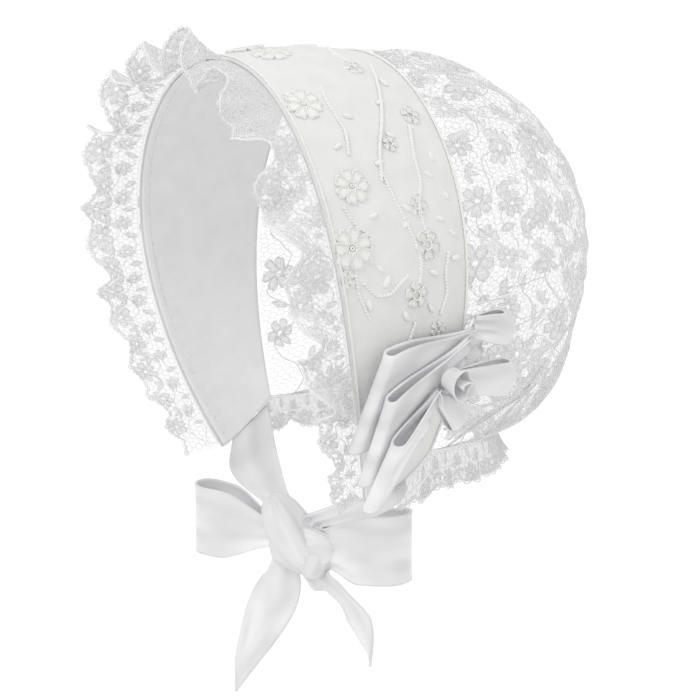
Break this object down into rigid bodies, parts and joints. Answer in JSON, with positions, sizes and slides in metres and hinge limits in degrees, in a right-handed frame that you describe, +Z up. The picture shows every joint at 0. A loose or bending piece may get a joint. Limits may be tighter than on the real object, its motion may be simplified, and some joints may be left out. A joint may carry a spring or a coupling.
{
  "type": "baby lace hat",
  "caption": "White lace baby bonnet: lined embroidered band, gathered pierced lace back, ruffled face edge, satin rosette at the side and satin ribbons tied in a bow under the chin.",
  "frame": {"origin": "where the top of the head meets the lining, under the top of the back seam on the middle line", "axes": "+Z up, -Y out of the face opening, +X to the wearer's left"},
  "size_m": [0.1566, 0.1723, 0.2419],
  "materials": {
    "batiste": "embroidered ivory cotton",
    "cotton": "plain woven cotton",
    "lace": "white flowered lace",
    "satin": "white satin ribbon"
  },
  "bodies": {
    "root": {"band": "batiste", "lining": "cotton", "back_crown": "lace", "front_ruffle": "lace", "neck_frill": "lace", "front_piping": "batiste", "back_piping": "batiste", "rosette_loop_1": "satin", "rosette_loop_2": "satin", "rosette_loop_3": "satin", "rosette_loop_4": "satin", "rosette_loop_5": "satin", "rosette_loop_6": "satin", "rosette_bud": "satin", "bow_knot": "satin", "bow_loop_right": "satin", "bow_loop_left": "satin", "tie_right": "satin", "tie_left": "satin", "bow_tail_right": "satin", "bow_tail_left": "satin"}
  },
  "joints": []
}
